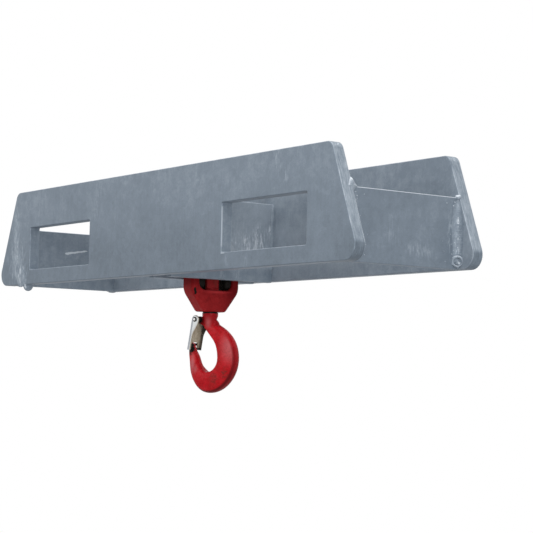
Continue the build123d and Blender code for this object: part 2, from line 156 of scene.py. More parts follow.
def wave(z, share, length, phase=0.0):
    """Sine along a height: share * sin(z / length + phase)."""
    return share * np.sin(z / length + phase)


def fillet_bead(corner, out, along, low, high, leg, phase):
    """Points p(z, a) = corner + min(size, room) cos^k a out + size sin^k a along with k = 2 / hollow, closed
    through the corner itself, where size = leg * wander(z) * puddles(z, a) * end(z) and room(z) is the way to
    the long plate's slanted end."""
    z = np.linspace(low, high, int((high - low) / ROW_STEP))[:, None]
    a = np.linspace(0, np.pi / 2, SECTION_POINTS)[None, :]
    reach_out, reach_along = np.cos(a).clip(0) ** (2 / WELD_HOLLOW), np.sin(a) ** (2 / WELD_HOLLOW)
    wander = 1 + wave(z, *SIZE_WAVES[0], phase) + wave(z, *SIZE_WAVES[1], 2.1 * phase)
    beat = np.pi * z / PUDDLE_PITCH + wave(z, *BEAT_WAVES[0]) + wave(z, *BEAT_WAVES[1], phase) + phase
    crescent = np.abs(np.sin(beat + PUDDLE_BEND * np.sin(2 * a)))
    pocks = np.sin(z / POCK_LENGTHS[0] + 5 * a + phase) * np.sin(z / POCK_LENGTHS[1] - 4 * a)
    puddles = 1 + PUDDLE_HEIGHT * np.sin(2 * a) * (crescent + POCK_SHARE * pocks)
    inset = np.clip(np.minimum(z - low, high - z) / leg, 0, 1)
    size = leg * wander * puddles * inset * (2 - inset)
    room = np.interp(z, plate_heights, PLATE_HALF_LENGTHS) - abs(corner[0]) - PLATE_EDGE
    ring = (np.minimum(size, room) * reach_out)[..., None] * out + (size * reach_along)[..., None] * along
    ring = np.concatenate([np.zeros((len(z), 1, 3)), ring], axis=1)
    return ring + corner - WELD_SINK * (out + along) + z[..., None] * Z_AXIS


def pair_of_beads(kind, hand, side):
    """Two beads up the corners between one cross plate's outer face and the two long plates."""
    face = side * np.abs(box[f"{hand}_{kind}_plate"][:, 0]).max()
    low, high = box[f"{hand}_{kind}_welds"][:, 2]
    leg = WELD_LEG[kind]
    front, rear = np.array([face, front_inner, 0]), np.array([face, rear_inner, 0])
    return [fillet_bead(front, side * X_AXIS, Y_AXIS, low, high, leg, FRONT_PHASE + side),
            fillet_bead(rear, side * X_AXIS, -Y_AXIS, low, high, leg, REAR_PHASE + side)]


for side, hand in ((-1, "left"), (1, "right")):
    for kind in ("end", "hanger"):
        beads = pair_of_beads(kind, hand, side)
        skin(f"{hand}_{kind}_weld_beads", beads, "carrier", "weld_metal", f"{hand}_{kind}_welds")

# %% [markdown]
# ## Weld ends and spatter
# Where the welder started a seam, the metal wraps over the end plate's top corner: as a broad web beside
# the front plate and as a small bead beside the rear one. Where the arc was broken off it leaves a pool with
# a raised lip, and droplets of spatter stay beside the seam. The web is a lens with a pointed outline, pool,
# bead and droplets are balls with a wavy radius, and the lip is an uneven torus. The droplets are scattered
# by steps of the golden ratio, which looks random and is the same on each run.

# %% Webs, pools and droplets
GOLDEN = 0.618034
SPATTER_COUNT, SPATTER_START, SPATTER_REACH = 30, 5 * MM, 20 * MM
SPATTER_SMALLEST, SPATTER_SPREAD = 0.4 * MM, 0.8 * MM
SPATTER_ON_PLATE = 18 * MM
WEB_WIDTH, WEB_RISE, WEB_FALL, WEB_HALF_THICK = 9.5 * MM, 11 * MM, 20 * MM, 5.5 * MM
WEB_POINTED_ABOVE, WEB_POINTED_BELOW, WEB_BELLY = 2.0, 3.0, 0.7
WEB_INSET, BEAD_SHIFT = 3 * MM, 2.5 * MM
BEAD_RADII = np.array([4.2, 3.8, 3.2]) * MM
POOL_RADII, POOL_HEIGHT = np.array([4.4, 4.4, 8.4]) * MM, 6.4 * MM
LIP_RADIUS, LIP_THICK, LIP_OFFSET = 5.9 * MM, 1.3 * MM, 3.8 * MM
LAST_DROP, LAST_DROP_SINK = 2.3 * MM, 0.8 * MM


def ball_grid(rows, columns):
    """Angle t from pole to pole down the rows, and angle a once round along the columns."""
    t = np.linspace(0, np.pi, rows)[:, None]
    a = np.linspace(0, 2 * np.pi, columns, endpoint=False)[None, :]
    return t, a


def signed_power(value, power):
    """sign(value) |value|^power: of sine and cosine, powers over 1 make a circle pointed, under 1 boxy."""
    return np.sign(value) * np.abs(value) ** power


def lump(centre, radii, phase, rows=18, columns=28):
    """Points p(t, a) = centre + radii * waves(t, a) * unit ball(t, a)."""
    t, a = ball_grid(rows, columns)
    swell = 1 + 0.09 * np.sin(3 * a + phase) * np.sin(2 * t) + 0.05 * np.cos(2 * a - phase) * np.sin(t)
    ball = np.stack([np.sin(t) * np.cos(a), np.sin(t) * np.sin(a), np.cos(t) * np.ones_like(a)], axis=-1)
    return centre + swell[..., None] * ball * radii


def corner_web(centre):
    """Lens p(t, a) = centre + thick cos t X + sin^belly t (width cos^k a Y + height sin^k a Z), whose height
    and power k are one pair above the centre and another below."""
    t, a = ball_grid(28, 96)
    power = np.where(np.sin(a) > 0, WEB_POINTED_ABOVE, WEB_POINTED_BELOW)
    height = np.where(np.sin(a) > 0, WEB_RISE, WEB_FALL)
    spread = np.sin(t).clip(0) ** WEB_BELLY * (1 + 0.05 * np.sin(7 * a) * np.sin(2 * t))
    across = WEB_WIDTH * signed_power(np.cos(a), power)
    upright = height * signed_power(np.sin(a), power)
    return centre + np.stack([WEB_HALF_THICK * np.cos(t) + 0 * a, spread * across, spread * upright], axis=-1)


def crater(centre, axis, radius, lip):
    """Torus p(a, t) = centre + (radius + lip cos t)(cos a side + sin a Z) + lip sin t axis, with a lip that
    is uneven round a."""
    a = np.linspace(0, 2 * np.pi, 41)[:, None, None]
    t = np.linspace(0, 2 * np.pi, 12, endpoint=False)[None, :, None]
    side = np.cross(Z_AXIS, axis)
    uneven = lip * (1 - 0.5 * np.cos(a + 0.8) + 0.2 * np.sin(3 * a))
    round_axis = np.cos(a) * side + np.sin(a) * Z_AXIS
    return centre + (radius + uneven * np.cos(t)) * round_axis + uneven * np.sin(t) * axis


def droplet(number, side, face, inner, inward):
    """One ball of spatter, on the end plate or, for every third one, on the long plate."""
    foot, top = box["right_end_welds"][:, 2]
    height = foot + (top - foot) * ((number * GOLDEN) % 1)
    reach = SPATTER_START + SPATTER_REACH * ((number * GOLDEN * GOLDEN * 1.7) % 1) ** 2
    size = SPATTER_SMALLEST + SPATTER_SPREAD * ((number * 0.37) % 1) ** 2
    place = np.array([face, inner + inward * reach, height])
    if number % 3 == 0:
        place = np.array([face + side * (reach - SPATTER_ON_PLATE), inner, height])
    return lump(place, np.full(3, size), number, rows=8, columns=10)


def seam_end(side, where):
    """Web or bead over the top corner, pool with its lip at the foot and spatter beside one end seam."""
    inner, inward = (front_inner, 1) if where == "front" else (rear_inner, -1)
    face = side * box["right_end_plate"][1][0]
    top, foot = box["right_end_plate"][1][2], box["right_end_welds"][0][2]
    start = np.array([face - side * WEB_INSET, inner, top])
    diagonal = side * X_AXIS + inward * Y_AXIS
    stop = np.array([face, inner, foot + POOL_HEIGHT])
    spatter = [droplet(number, side, face, inner, inward) for number in range(SPATTER_COUNT)]
    over_top = corner_web(start)
    if where == "rear":
        over_top = lump(start + side * BEAD_SHIFT * X_AXIS, BEAD_RADII, phase=1.3)
    middle = stop + LIP_OFFSET * diagonal
    lip = crater(middle, diagonal / np.sqrt(2), LIP_RADIUS, LIP_THICK)
    below = middle + 0.5 * LIP_RADIUS * (np.cross(Z_AXIS, diagonal) / 2 - Z_AXIS) - LAST_DROP_SINK * diagonal
    last_drop = lump(below, np.full(3, LAST_DROP), phase=0.9)
    return [over_top, lump(stop, POOL_RADII, phase=0.4), lip, last_drop] + spatter


ends = [seam_end(side, where) for side in (-1, 1) for where in ("front", "rear")]
skin("weld_ends", sum(ends, []), "carrier", "weld_metal")

# %% [markdown]
# ## Runs and drips of zinc
# When the carrier is lifted out of the bath, molten zinc runs down the plates and freezes: as low ridges
# on the faces and as drops under the lowest edges. A texture alone would stay flat along the edge, so the
# thickest run is a lens-shaped section carried down a path on the front face, and a drop is a ball that
# hangs longer below than above.

# %% Ridges and drops
# Path of the run on the front face: place along the plate, height, half width and thickness in millimetres
RUN_MM = np.array([
    (-401, 34, 1.8, 0.2), (-397, 8, 2.8, 0.3), (-394, -18, 5.5, 0.35), (-392, -42, 12.0, 0.4),
    (-386, -62, 16.0, 0.5), (-376, -76, 14.0, 0.8), (-366, -88, 9.5, 1.4),
])
# Size and length of the waves in the run's path and in its width, and how many stations its ends take
RUN_WAVER, RUN_SWELL, RUN_ENDS = (0.8 * MM, 7 * MM), (0.15, 5 * MM), 0.6


def face_run(stations, rows=90, columns=18):
    """Section p(t, a) = path(t) + width(t) cos a side(t) + thick(t) lens(a) outwards; the path wavers."""
    t = np.linspace(0, len(stations) - 1, rows)
    x, z, width, thick = (np.interp(t, np.arange(len(stations)), column) * MM for column in stations.T)
    x = x + wave(z, *RUN_WAVER)
    drawn_in = np.sqrt(np.clip(np.minimum(t, t[-1] - t) / RUN_ENDS, 0, 1))
    width = (width * (1 + wave(z, *RUN_SWELL)) * drawn_in)[:, None]
    thick = (thick * drawn_in)[:, None]
    heading = np.stack([np.gradient(x), np.gradient(z)], axis=1)
    heading /= np.linalg.norm(heading, axis=1, keepdims=True)
    a = np.linspace(0, 2 * np.pi, columns, endpoint=False)[None, :]
    lens = np.where(np.sin(a) > 0, np.sin(a) ** 2, 0.4 * np.sin(a))
    return np.stack([x[:, None] - width * np.cos(a) * heading[:, 1:],
                     front_outer - thick * lens,
                     z[:, None] + width * np.cos(a) * heading[:, :1]], axis=-1)


def drop(x, y, edge, width, length, rows=20, columns=28):
    """Points p(t, a): height edge + length (0.5 - 1.5 depth) and radius width sin^0.8 t (1.15 - 0.3 depth),
    with depth = (1 - cos t) / 2."""
    t, a = ball_grid(rows, columns)
    depth = (1 - np.cos(t)) / 2
    radius = width * np.sin(t).clip(0) ** 0.8 * (1.15 - 0.3 * depth)
    height = edge + 0.5 * length - 1.5 * length * depth
    return np.stack([x + radius * np.cos(a), y + radius * np.sin(a), height * np.ones_like(a)], axis=-1)


lower_edge = box["front_plate"][0][2]
front_middle, rear_middle = (front_outer + front_inner) / 2, (rear_outer + rear_inner) / 2
# Each drop's place along the plate, its plate's middle (in metres), half width and length in millimetres
DROPS_MM = (
    (-366, front_middle, 7.4, 9.5), (-364, front_middle, 7.9, 3.2), (-383, front_middle, 4.4, 2.0),
    (-396, front_middle, 3.4, 1.6), (-424, rear_middle, 5.8, 1.3),
)
drops = [drop(x * MM, y, lower_edge, width * MM, length * MM) for x, y, width, length in DROPS_MM]
skin("zinc_runs", drops + [face_run(RUN_MM)], "carrier", "galvanised_steel")

# %% [markdown]
# ## Latch spring
# A torsion spring wound round the latch's rivet keeps the hook's mouth shut: one leg presses on the hook's
# neck and the other on the latch. A curve with a bevel would do, but a tube worked out as an array is a mesh
# at once.

# %% Wound wire
WIRE_RADIUS, WIRE_SIDES = 0.6 * MM, 14
COIL_RADIUS, COIL_PITCH, COIL_TURNS = 3.4 * MM, 1.7 * MM, 2.25
COIL_START, COIL_POINTS = -5.7 * MM, 110
NECK_LEG, WEB_LEG = 3.6 * MM, 18 * MM
SWIVEL = np.radians(20)
LATCH_LEAN = np.radians(9.5)
hook_along = np.array([np.cos(SWIVEL), np.sin(SWIVEL), 0])
hook_normal = np.array([np.sin(SWIVEL), -np.cos(SWIVEL), 0])
latch_inward = hook_along * np.cos(LATCH_LEAN) - Z_AXIS * np.sin(LATCH_LEAN)
latch_up = hook_along * np.sin(LATCH_LEAN) + Z_AXIS * np.cos(LATCH_LEAN)
latch_pivot = box["latch_rivet"].mean(axis=0)


def tube(path, radius, sides):
    """Circle carried along a path: p(s, a) = path(s) + radius (cos a side(s) + sin a rise(s)), ends shut."""
    heading = np.gradient(path, axis=0)
    heading /= np.linalg.norm(heading, axis=1, keepdims=True)
    side = np.cross(heading, hook_normal)
    side /= np.linalg.norm(side, axis=1, keepdims=True)
    rise = np.cross(heading, side)
    a = np.linspace(0, 2 * np.pi, sides, endpoint=False)[None, :, None]
    thick = np.full(len(path), radius)
    thick[[0, -1]] = 0
    return path[:, None] + thick[:, None, None] * (np.cos(a) * side[:, None] + np.sin(a) * rise[:, None])


def spring_path():
    """Neck leg, helix (-r sin 2 pi t, r cos 2 pi t, start - pitch t) and web leg in the latch's own plane."""
    t = np.linspace(0, COIL_TURNS, COIL_POINTS)
    turn = 2 * np.pi * t
    circle = COIL_RADIUS * np.stack([-np.sin(turn), np.cos(turn)], axis=1)
    coil = np.column_stack([circle, COIL_START - COIL_PITCH * t])
    first, last = coil[0] - coil[1], coil[-1] - coil[-2]
    first, last = first / np.linalg.norm(first), last / np.linalg.norm(last)
    near_end = np.array([1, 0.99])[:, None]
    neck = coil[0] + np.vstack([near_end, np.linspace(0.9, 0.1, 8)[:, None]]) * NECK_LEG * first
    web = coil[-1] + np.vstack([np.linspace(0.05, 0.95, 20)[:, None], near_end[::-1]]) * WEB_LEG * last
    flat = np.vstack([neck, coil, web])
    return latch_pivot + flat[:, :1] * latch_inward + flat[:, 1:2] * latch_up + flat[:, 2:] * hook_normal


wire = tube(spring_path(), WIRE_RADIUS, WIRE_SIDES)
spring = skin("latch_spring_wire", [wire], None, "spring_steel", "latch_spring")
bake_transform(spring)

# %% [markdown]
# ## Grease of the swivel
# The hook turns on a greased shank. Dark grease is squeezed out between the bail and the hook's collar, and
# more of it is packed in the bail's window on both sides of the nut, where it blocks the view through. The
# first is a thin wavy ring round the swivel axis. The second is a pair of pads, boxy balls with a lumpy top,
# which stay on the bail and leave the nut free to turn. A last lump sticks to the hook's tip.

# %% Ring, pads and lump of grease
GREASE_RADIUS, GREASE_WAVE = 10.1 * MM, 0.35 * MM
SHANK_RADIUS = 8.2 * MM
NUT_CORNER, NUT_CLEARANCE = 15.1 * MM, 0.5 * MM
WINDOW_HALF, PAD_PRESS, PAD_DROP, PAD_HALF_DEPTH = 27 * MM, 0.6 * MM, 1.5 * MM, 11.5 * MM
BOXY = 0.5
TIP_LUMP_RADII = np.array([2.3, 2.3, 1.9]) * MM
tip_place = -27.0 * MM * hook_along - 4.4 * MM * hook_normal - 176.6 * MM * Z_AXIS
bail_bottom = box["swivel_bail"][0][2]
grease_low, grease_high = bail_bottom - 0.95 * MM, bail_bottom - 0.12 * MM
nut_low, nut_high = box["shank_nut"][:, 2]


def grease_ring():
    """Points p(a, t): radius between shank and outer wave, height by a rounded section, a round the axis."""
    a = np.linspace(0, 2 * np.pi, 96)[:, None]
    t = np.linspace(0, 2 * np.pi, 12, endpoint=False)[None, :]
    outer = GREASE_RADIUS + GREASE_WAVE * np.sin(5 * a + 0.6) * np.sin(2 * a)
    middle, half = (outer + SHANK_RADIUS) / 2, (outer - SHANK_RADIUS) / 2
    radius = middle + half * signed_power(np.cos(t), BOXY)
    height = (grease_low + grease_high) / 2 + (grease_high - grease_low) / 2 * np.sin(t)
    return np.stack([radius * np.cos(a), radius * np.sin(a), height + 0 * a], axis=-1)


def grease_pad(side):
    """Boxy ball p(t, a) from the nut's turning circle to the bail's arm: powers 0.5 of sine and cosine."""
    t, a = ball_grid(28, 40)
    near_nut = NUT_CORNER + NUT_CLEARANCE
    half_y = (WINDOW_HALF + PAD_PRESS - near_nut) / 2
    middle = np.array([0, side * (near_nut + half_y), (nut_low + nut_high) / 2 - PAD_DROP])
    half = np.array([PAD_HALF_DEPTH, half_y, (nut_high - nut_low) / 2])
    sag = 1 + 0.05 * np.sin(4 * a + side) * np.sin(t)
    boxy_t, boxy_x, boxy_y = (signed_power(value, BOXY) for value in (np.sin(t), np.cos(a), np.sin(a)))
    ball = np.stack([boxy_t * boxy_x, boxy_t * boxy_y, np.cos(t) * sag], axis=-1)
    return middle + ball * half


skin("swivel_grease", [grease_ring()], "hook", "spring_steel")
skin("tip_grease", [lump(tip_place, TIP_LUMP_RADII, phase=0.5)], "hook", "spring_steel")
skin("nut_grease", [grease_pad(-1), grease_pad(1)], "bail", "spring_steel")

# %% [markdown]
# ## Writing shaders as sums
# A finish is a small program of nodes. Linking them by hand hides the idea, so one class wraps a socket:
# plus, minus and times add Math nodes, and `node` adds any other node from its type, its settings
# and what goes into its sockets. A second class holds what every finish starts from: the place of a point
# on the object, the way its surface looks, and clouds, crystals and spots made from them. In finishes all
# lengths are in millimetres.


# %% Helper: sockets as numbers
class Wire:
    """An output socket in a node tree; arithmetic on it adds Math nodes."""

    def __init__(self, tree, socket=None):
        self.tree = tree
        self.socket = socket

    def node(self, kind, settings=None, sockets=None, output=0):
        """Adds a node: settings first, then values or links by socket name or number."""
        made = self.tree.nodes.new(kind)
        for key, value in (settings or {}).items():
            if key == "stops":
                ramp = made.color_ramp.elements
                while len(ramp) < len(value):
                    ramp.new(1)
                for element, (position, colour) in zip(ramp, value):
                    element.position = position
                    element.color = (*colour, 1)
            else:
                setattr(made, key, value)
        for key, value in (sockets or {}).items():
            if isinstance(value, Wire):
                self.tree.links.new(value.socket, made.inputs[key])
            else:
                made.inputs[key].default_value = value
        return Wire(self.tree, made.outputs[output])

    def math(self, operation, first, second):
        return self.node("ShaderNodeMath", {"operation": operation}, {0: first, 1: second})

    def __add__(self, other):
        return self.math("ADD", self, other)

    __radd__ = __add__

    def __sub__(self, other):
        return self.math("SUBTRACT", self, other)

    def __rsub__(self, other):
        return self.math("SUBTRACT", other, self)

    def __mul__(self, other):
        return self.math("MULTIPLY", self, other)

    __rmul__ = __mul__

    def larger(self, other):
        return self.math("MAXIMUM", self, other)

    def size(self):
        return self.math("ABSOLUTE", self, 0.0)

    def step(self, low, high):
        """0 below low, 1 above high, smooth between; low above high turns it round."""
        ends = {1: min(low, high), 2: max(low, high)}
        ramp = self.node("ShaderNodeMapRange", {"interpolation_type": "SMOOTHSTEP"}, {0: self, **ends})
        return 1 - ramp if low > high else ramp

    def band(self, low, rise, fall, high):
        """0 below low and above high, 1 between rise and fall, smooth between."""
        return self.step(low, rise) * self.step(high, fall)

    def mix(self, first, second):
        """Colour between first and second, by this wire as the factor."""
        pair = [value if isinstance(value, Wire) else (*value, 1) for value in (first, second)]
        return self.node("ShaderNodeMix", {"data_type": "RGBA"}, {0: self, 6: pair[0], 7: pair[1]}, 2)

    def ramp(self, *stops):
        return self.node("ShaderNodeValToRGB", {"stops": stops}, {0: self})


class Finish:
    """One material: places and directions on the object, textures on them, and the shader that they feed."""

    def __init__(self, name, **constants):
        self.material = bpy.data.materials.new(name)
        self.material.use_nodes = True
        self.tree = self.material.node_tree
        self.shader = self.tree.nodes["Principled BSDF"]
        for socket, value in constants.items():
            self.shader.inputs[socket.replace("_", " ")].default_value = value
        self.wire = Wire(self.tree)
        self.place = self.wire.node("ShaderNodeTexCoord", output="Object")

    def vector(self, operation, first, second, output="Vector"):
        return self.wire.node("ShaderNodeVectorMath", {"operation": operation}, {0: first, 1: second}, output)

    def along(self, direction):
        """Distance along a direction from the origin."""
        return self.vector("DOT_PRODUCT", self.place, tuple(np.array(direction) / MM), "Value")

    def facing(self, direction):
        """How far the surface looks in a direction or along a vector, from -1 to 1."""
        normal = self.wire.node("ShaderNodeTexCoord", output="Normal")
        direction = direction if isinstance(direction, Wire) else tuple(direction)
        return self.vector("DOT_PRODUCT", normal, direction, "Value")

    def noise(self, size, detail=3, rough=0.5, stretch=(1, 1, 1)):
        """Cloudy value about 0.5 with features of the given size, longer along stretched axes."""
        place = self.vector("DIVIDE", self.place, stretch) if stretch != (1, 1, 1) else self.place
        values = {"Vector": place, "Scale": 1 / (size * MM), "Detail": detail, "Roughness": rough}
        return self.wire.node("ShaderNodeTexNoise", None, values)

    def cells(self, size):
        """Random value between 0 and 1 for each crystal cell of the given size."""
        values = {"Vector": self.place, "Scale": 1 / (size * MM)}
        cell = self.wire.node("ShaderNodeTexVoronoi", None, values, "Color")
        return self.wire.node("ShaderNodeSeparateColor", None, {0: cell})

    def near(self, middle, half, boxy=False):
        """1 at the middle, fading to 0 on an ellipsoid, or a box, of the given half sizes."""
        middle, half = (tuple(np.array(values) * MM) for values in (middle, half))
        share = self.vector("DIVIDE", self.vector("SUBTRACT", self.place, middle), half)
        if boxy:
            x, y, z = (self.vector("DOT_PRODUCT", share, axis, "Value").size() for axis in np.eye(3))
            return x.larger(y).larger(z).step(1, 0)
        return self.vector("LENGTH", share, (0, 0, 0), "Value").step(1, 0)

    def patches(self, places):
        """Soft ellipsoids, each given by its middle, half sizes and strength."""
        return [self.near(middle, half) * strength for middle, half, strength in places]

    def feed(self, bump=None, depth=0.2, strength=0.35, **wires):
        """Links wires to the shader's sockets, and a height through a Bump node to Normal."""
        for socket, wire in wires.items():
            self.tree.links.new(wire.socket, self.shader.inputs[socket.replace("_", " ")])
        if bump:
            values = {"Strength": strength, "Distance": depth * MM, "Height": bump}
            normal = self.wire.node("ShaderNodeBump", None, values)
            self.tree.links.new(normal.socket, self.shader.inputs["Normal"])
        print(self.material.name, "nodes:", len(self.tree.nodes))


# %% [markdown]
# ## Galvanised steel: tones and thick zinc
# Hot-dip zinc is a dull blue grey with cloudy patches, faint crystal flowers, fine mottling and white specks,
# and thick zinc is almost white. A picture of zinc would repeat on plates as long as these, so the tone is a
# weighted sum of textures on a narrow ramp. Tables say where thick zinc lies and where painted highlights run
# along edges: runs are soft ellipsoids that a blotchy noise breaks up, marks are the same without the noise,
# and lines, the painted highlights, are thin boxes.

# %% Zinc tones and places of thick zinc
ZINC_STOPS = (
    (0.20, (0.115, 0.146, 0.180)), (0.50, (0.198, 0.242, 0.293)), (0.80, (0.370, 0.425, 0.485)),
    (1.00, (0.640, 0.690, 0.740)),
)
# Weight and feature size of each texture that makes up the tone
CLOUDS, MOTTLE, STREAKS, GRAIN = (0.28, 80), (0.24, 16), (0.09, 5), (0.18, 1.2)
FLOWERS, FLECKS = (0.05, 8), (0.04, 2.6)
WEIGHTS = sum(weight for weight, size in (CLOUDS, MOTTLE, STREAKS, GRAIN, FLOWERS, FLECKS))
front_face, rear_face = front_outer / MM, rear_inner / MM
hanger_face = box["right_hanger_plate"][1][0] / MM
end_face = box["right_end_plate"][1][0] / MM
left_face = box["left_end_plate"][1][0] / MM
# Place along the face, height, half width, half height and strength of each run on a flat face
FRONT_RUNS = (
    (-396, -8, 16, 72, 1.2), (-389, -54, 46, 60, 1.5), (-368, -78, 24, 28, 1.5), (-146, 44, 20, 26, 0.45),
    (-150, 10, 18, 34, 0.4), (289, 42, 14, 26, 0.8), (306, 20, 10, 22, 0.5), (181, -76, 8, 13, 0.9),
    (224, -79, 8, 14, 0.8), (202, -93, 30, 9, 0.8), (105, 42, 6, 10, 0.5),
)
REAR_RUNS = ((404, -38, 14, 48, 0.8), (352, -66, 26, 16, 0.5))
HANGER_RUNS = (
    (58, -30, 14, 40, 1.3), (40, -40, 16, 30, 0.6), (22, -36, 46, 44, 0.5), (70, -34, 14, 44, 0.6),
    (79, -14, 5, 9, 1.6), (0, -79, 10, 12, 0.8), (23, -79, 9, 12, 0.8),
)
END_RUNS = ((72, -46, 11, 44, 1.1), (20, -66, 34, 14, 0.8), (-20, -50, 24, 34, 0.35))


def on_face(runs, axis, face, depth):
    """Middle, half sizes and strength of each run on a flat face, which lies across axis 0 or 1."""
    rows = np.array(runs)
    middles, halves = np.insert(rows[:, :2], axis, face, axis=1), np.insert(rows[:, 2:4], axis, depth, axis=1)
    return list(zip(middles, halves, rows[:, 4]))


plate_runs = on_face(FRONT_RUNS, 1, front_face, depth=9) + on_face(REAR_RUNS, 1, rear_face, depth=7)
# Thick zinc and a painted highlight over the upper right corners of both long plates
plate_runs += [((392, face + 8, 52), (16, 12, 6), 1.2) for face in (front_face, rear_face)]
hanger_runs, end_runs = on_face(HANGER_RUNS, 0, hanger_face, depth=5), on_face(END_RUNS, 0, end_face, depth=5)
# Middle, half sizes and strength of runs on weld beads and on the run and drops of zinc
WELD_RUNS = (
    ((end_face + 4, 79, -50), (9, 9, 30), 0.5), ((end_face + 3, 80, -27), (5, 4, 5), 2.0),
    ((end_face + 3, 80, -47), (5, 4, 4), 2.2), ((end_face + 1, 73, -46), (5, 3, 5), 2.0),
    ((end_face + 3, 79, -64), (5, 4, 5), 1.8), ((end_face + 4, 80, -9), (5, 5, 6), 1.4),
)
LACE_RUNS = (
    ((-384, front_face - 0.6, -20), (300, 0.64, 500), 1.3),
    ((-370, front_face - 1.4, -80), (60, 0.9, 60), 1.0), ((-367, front_face + 1, -87), (14, 7, 14), 2.2),
)
# Middle and half sizes of the painted highlight lines beside the front plate's right window, and then the
# left end plate's mark
PLATE_HIGHLIGHT_LINES = (((169, front_face, -31), (0.9, 3, 37)), ((173, front_face, -65), (6, 3, 1.2)))


def end_stroke(y):
    """Middle and half sizes of one stroke of a mark, which climbs, waves and thins along y."""
    return (left_face, y, -30 + 0.17 * y + 0.25 * np.sin(0.5 * y)), (3, 7, 2.8 - 0.05 * y)


end_marks = [end_stroke(y) for y in range(-4, 30, 4)]
print("runs of thick zinc:", sum(map(len, (plate_runs, hanger_runs, end_runs, WELD_RUNS, LACE_RUNS))))

# %% [markdown]
# ## Galvanised steel: edges and ends of the long plates
# A painted highlight brightens the rounded upper edges of the long plates, the inner edges of their ends and
# the window's side faces, and a painted shade darkens their lower edges and undersides. Their flame-cut ends
# show fine lines and get painted light, and a painted shade where the lower corner turns down. Painted light
# makes the rear plate's inner face paler than the front plate's outer one, which a painted shade darkens
# downwards. Painting this would take a map of the whole plate, so masks are made from the place of a point
# and the way its surface looks.

# %% Shade of a long plate
EDGE_LOOK = (0.12, 0.40, 0.80, 0.97)
# Painted light (above 0) or painted shade (below 0) added on each kind of place; the cut's contrast is its
# fine lines
UPPER_EDGE_HIGHLIGHT, LOWER_EDGE_SHADE, INNER_EDGE_HIGHLIGHT, LOW_CORNER_SHADE, UNDERSIDE_SHADE = 0.16, -0.16, 0.30, -0.20, -0.06
CUT_END_LIGHT, CUT_CONTRAST, WINDOW_END_LIGHT = 0.09, 0.6, 0.03
INNER_FACE_LIGHT, INNER_LOW_LIGHT, INNER_MIDDLE_LIGHT, BESIDE_HANGER_LIGHT, FRONT_LOW_SHADE = 0.04, 0.06, 0.11, 0.05, -0.125


def long_plate_shade(finish, mottle):
    """Sum of masks times painted light and shade: edges, flame-cut ends, faces that look to the front, and
    undersides.
    """
    across, upwards, endways = (finish.facing(axis) for axis in (Y_AXIS, Z_AXIS, X_AXIS))
    lengthways, height = finish.along(X_AXIS), finish.along(Z_AXIS)
    at_end = lengthways.size().step(380, 390)
    inboard = 1 - at_end
    rounded, under = across.size().band(*EDGE_LOOK), upwards.step(-0.15, -0.45)
    upper_edge = rounded * (1 - under) * mottle.step(0.34, 0.60)
    low_corner = at_end * upwards.step(0.30, 0.05) * across.size().step(0.9, 0.5)
    shade = upper_edge * UPPER_EDGE_HIGHLIGHT + rounded * under * inboard * LOWER_EDGE_SHADE
    shade = shade + across.band(*EDGE_LOOK) * at_end * INNER_EDGE_HIGHLIGHT + low_corner * LOW_CORNER_SHADE
    cut_lines = (finish.noise(1.8, detail=3, stretch=(4, 1, 9)) - 0.5) * CUT_CONTRAST + CUT_END_LIGHT
    shade = shade + endways.size().step(0.45, 0.85) * (at_end * cut_lines + inboard * WINDOW_END_LIGHT)
    # Painted light on the rear plate's inner face, painted shade low on the front plate's outer face
    low_half, above_foot = height.step(10, -25), height.step(-85, -60)
    near_end, near_hanger = lengthways.band(150, 330, 396, 408), lengthways.band(20, 40, 60, 130)
    inner_low = low_half * (above_foot * INNER_MIDDLE_LIGHT + INNER_LOW_LIGHT) * (1 - near_end * 0.7)
    inner_face = inner_low + near_hanger * BESIDE_HANGER_LIGHT + INNER_FACE_LIGHT
    outer_face = height.step(40, -80) * FRONT_LOW_SHADE
    on_rear, looks_front = finish.along(Y_AXIS).step(0, 10), across.step(-0.6, -0.9)
    shade = shade + looks_front * (on_rear * inner_face + (1 - on_rear) * outer_face)
    return shade + upwards.step(-0.4, -0.9) * inboard * UNDERSIDE_SHADE


# %% [markdown]
# ## Galvanised steel: one finish for each kind of plate
# All these pieces came out of one bath, so one function makes their finish, and each kind of plate only has
# its own lightness and runs; the hanger plates and their welds are lighter as painted light for the shade
# inside the pockets. What looks at the sky gets painted sky light, specks are thick on welds, and the hanger
# plates get a painted shade at their foot.

# %% Zinc on plates and welds
SPECK_SIZE, BLOTCH_SIZE = 2.8, 2.6
RUN_TONE, MARK_TONE, HIGHLIGHT_LINE_TONE = 0.30, 0.95, 0.82


